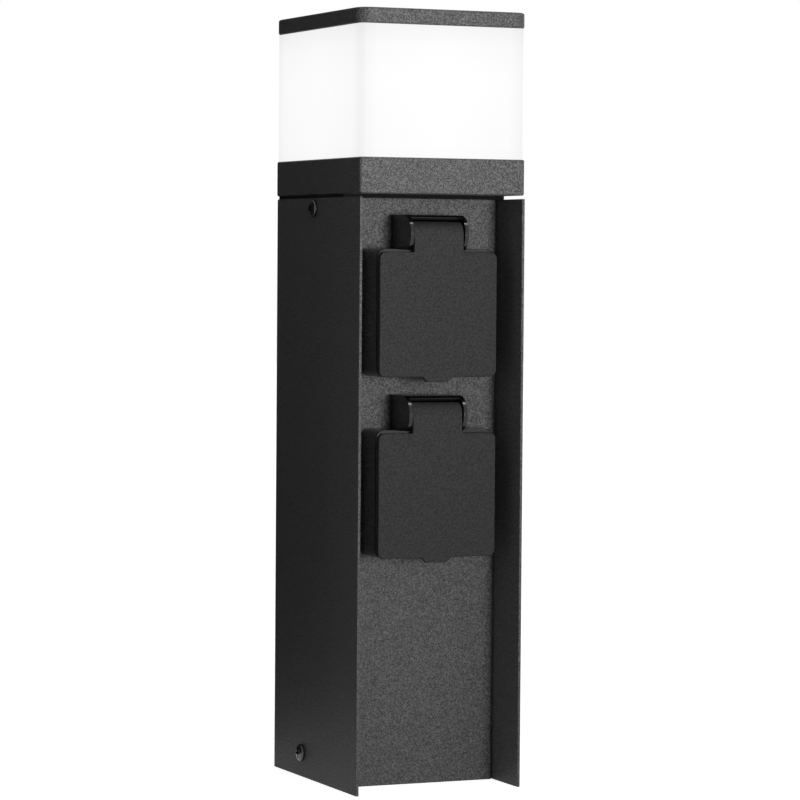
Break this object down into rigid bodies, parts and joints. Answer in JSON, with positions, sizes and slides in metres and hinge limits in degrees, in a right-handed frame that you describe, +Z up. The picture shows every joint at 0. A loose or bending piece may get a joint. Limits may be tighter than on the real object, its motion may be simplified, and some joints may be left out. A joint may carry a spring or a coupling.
{
  "type": "garden socket post",
  "caption": "Garden socket post: dark coated sheet column with two earthed sockets under sprung lids in a recessed front, and a lit opal lantern head under a flat cap.",
  "frame": {"origin": "middle of the footprint, on the ground", "axes": "+Z up, -Y out of the recessed front with the sockets, +X to the right of someone who faces the sockets"},
  "size_m": [0.0848, 0.102, 0.3475],
  "materials": {
    "coated_sheet": "fine texture powder coat",
    "coated_casting": "fine texture powder coat",
    "galvanised_steel": "galvanised",
    "stainless_steel": "satin",
    "zinc_plated_steel": "satin",
    "opal_lens": "satin opal, lit",
    "socket_moulding": "gloss",
    "lid_moulding": "fine moulded texture",
    "carrier_moulding": "matte",
    "block_moulding": "matte",
    "driver_moulding": "matte",
    "black_rubber": "matte",
    "brass": "bright",
    "board_white": "satin",
    "chip_phosphor": "lit",
    "brown_insulation": "satin",
    "blue_insulation": "satin",
    "green_yellow_insulation": "satin",
    "white_insulation": "satin"
  },
  "bodies": {
    "post": {"body_channel": "coated_sheet", "front_panel": "coated_sheet", "base_plate": "galvanised_steel", "inlet_grommet": "black_rubber", "terminal_block": "block_moulding", "terminal_clamps": "zinc_plated_steel", "terminal_block_screws": "zinc_plated_steel", "earth_screw": "zinc_plated_steel", "side_screws": "stainless_steel", "head_seal": "black_rubber", "collar": "coated_casting", "deck_plate": "galvanised_steel", "deck_screws": "zinc_plated_steel", "led_board": "board_white", "led_chips": "chip_phosphor", "led_board_screws": "zinc_plated_steel", "led_driver": "driver_moulding", "driver_screws": "zinc_plated_steel", "diffuser": "opal_lens", "lower_lens_seal": "black_rubber", "upper_lens_seal": "black_rubber", "top_cap": "coated_casting", "tie_rods": "zinc_plated_steel", "tie_rod_nuts": "zinc_plated_steel", "live_wires": "brown_insulation", "neutral_wires": "blue_insulation", "earth_wires": "green_yellow_insulation", "led_leads": "white_insulation", "upper_flange_seal": "black_rubber", "upper_socket_housing": "socket_moulding", "upper_hinge_pin": "stainless_steel", "upper_flap_spring": "stainless_steel", "upper_housing_screws": "zinc_plated_steel", "upper_terminal_base": "carrier_moulding", "upper_pin_contacts": "brass", "upper_earth_contact": "brass", "upper_contact_screws": "zinc_plated_steel", "upper_centre_screw": "zinc_plated_steel", "lower_flange_seal": "black_rubber", "lower_socket_housing": "socket_moulding", "lower_hinge_pin": "stainless_steel", "lower_flap_spring": "stainless_steel", "lower_housing_screws": "zinc_plated_steel", "lower_terminal_base": "carrier_moulding", "lower_pin_contacts": "brass", "lower_earth_contact": "brass", "lower_contact_screws": "zinc_plated_steel", "lower_centre_screw": "zinc_plated_steel"},
    "upper_lid": {"upper_flap": "lid_moulding", "upper_flap_seal": "black_rubber"},
    "lower_lid": {"lower_flap": "lid_moulding", "lower_flap_seal": "black_rubber"}
  },
  "joints": [
    {"name": "upper_lid_hinge", "type": "hinge", "parent": "post", "child": "upper_lid", "pos_m": [0, -0.0405, 0.2485], "axis": [-1, 0, 0], "range_deg": [0, 100], "stiffness_Nm_per_rad": 0.015, "springref_deg": -68.75},
    {"name": "lower_lid_hinge", "type": "hinge", "parent": "post", "child": "lower_lid", "pos_m": [0, -0.0405, 0.168], "axis": [-1, 0, 0], "range_deg": [0, 100], "stiffness_Nm_per_rad": 0.015, "springref_deg": -68.75}
  ]
}
